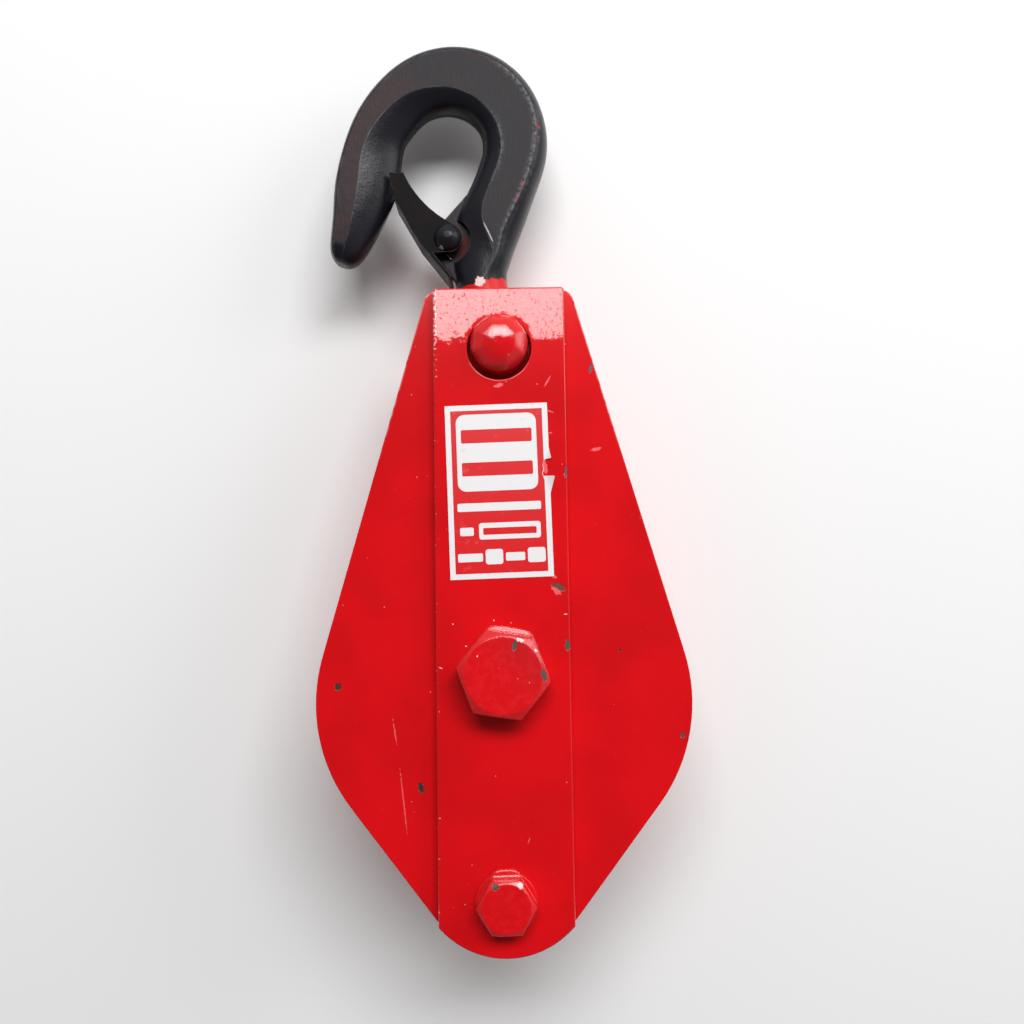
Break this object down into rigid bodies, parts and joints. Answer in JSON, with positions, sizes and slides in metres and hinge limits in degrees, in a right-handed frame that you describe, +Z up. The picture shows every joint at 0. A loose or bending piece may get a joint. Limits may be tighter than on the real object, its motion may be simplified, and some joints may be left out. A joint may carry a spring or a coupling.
{
  "type": "hook pulley block",
  "caption": "Hanging pulley block with red kite-shaped cheeks, stiffening straps, an enclosed grooved sheave and a black swivelling latch hook.",
  "frame": {"origin": "centre of the sheave, on the axle's axis, midway between the cheeks", "axes": "+Z up the block towards the hook, +Y along the axle to the nut side, +X to the right seen from the label side"},
  "size_m": [0.1272, 0.0795, 0.3202],
  "materials": {
    "red_enamel": "glossy brushed-on red enamel over steel",
    "black_paint": "semi-gloss black paint over a rough forging",
    "plain_steel": "bare turned steel, lightly oiled",
    "spring_steel": "dark spring wire",
    "sheave_iron": "cast iron, machined groove",
    "bush_bronze": "bronze bush",
    "label_film": "thin printed label with a white border"
  },
  "bodies": {
    "hook_body": {"hook": "black_paint", "shank_nut": "plain_steel", "shank_split_pin": "plain_steel", "thrust_washer": "plain_steel", "latch_rivet": "black_paint"},
    "latch_body": {"latch": "black_paint", "latch_spring": "spring_steel"},
    "crosshead_body": {"crosshead": "red_enamel"},
    "frame_body": {"front_cheek": "red_enamel", "rear_cheek": "red_enamel", "front_strap": "red_enamel", "rear_strap": "red_enamel", "axle_bolt": "red_enamel", "axle_nut": "red_enamel", "axle_washer": "red_enamel", "axle_sleeve": "plain_steel", "front_side_washer": "plain_steel", "rear_side_washer": "plain_steel", "tie_bolt": "red_enamel", "tie_nut": "red_enamel", "tie_front_washer": "red_enamel", "tie_rear_washer": "red_enamel", "tie_spacer": "plain_steel", "label_sticker": "label_film"},
    "sheave_body": {"sheave": "sheave_iron", "sheave_bush": "bush_bronze"}
  },
  "joints": [
    {"name": "hook_swivel", "type": "hinge", "parent": "hook_body", "child": "crosshead_body", "pos_m": [0, 0, 0.11117], "axis": [-0.225, 0, 0.9744], "continuous": true},
    {"name": "trunnion_tilt", "type": "hinge", "parent": "crosshead_body", "child": "frame_body", "pos_m": [0, 0, 0.11117], "axis": [0, 1, 0], "range_deg": [-88, 62]},
    {"name": "sheave_spin", "type": "hinge", "parent": "frame_body", "child": "sheave_body", "pos_m": [0, 0, 0], "axis": [0, 1, 0], "continuous": true},
    {"name": "latch_open", "type": "hinge", "parent": "hook_body", "child": "latch_body", "pos_m": [-0.01814, 0, 0.15419], "axis": [0, 1, 0], "range_deg": [0, 40], "stiffness_Nm_per_rad": 0.05, "springref_deg": -28.65}
  ]
}
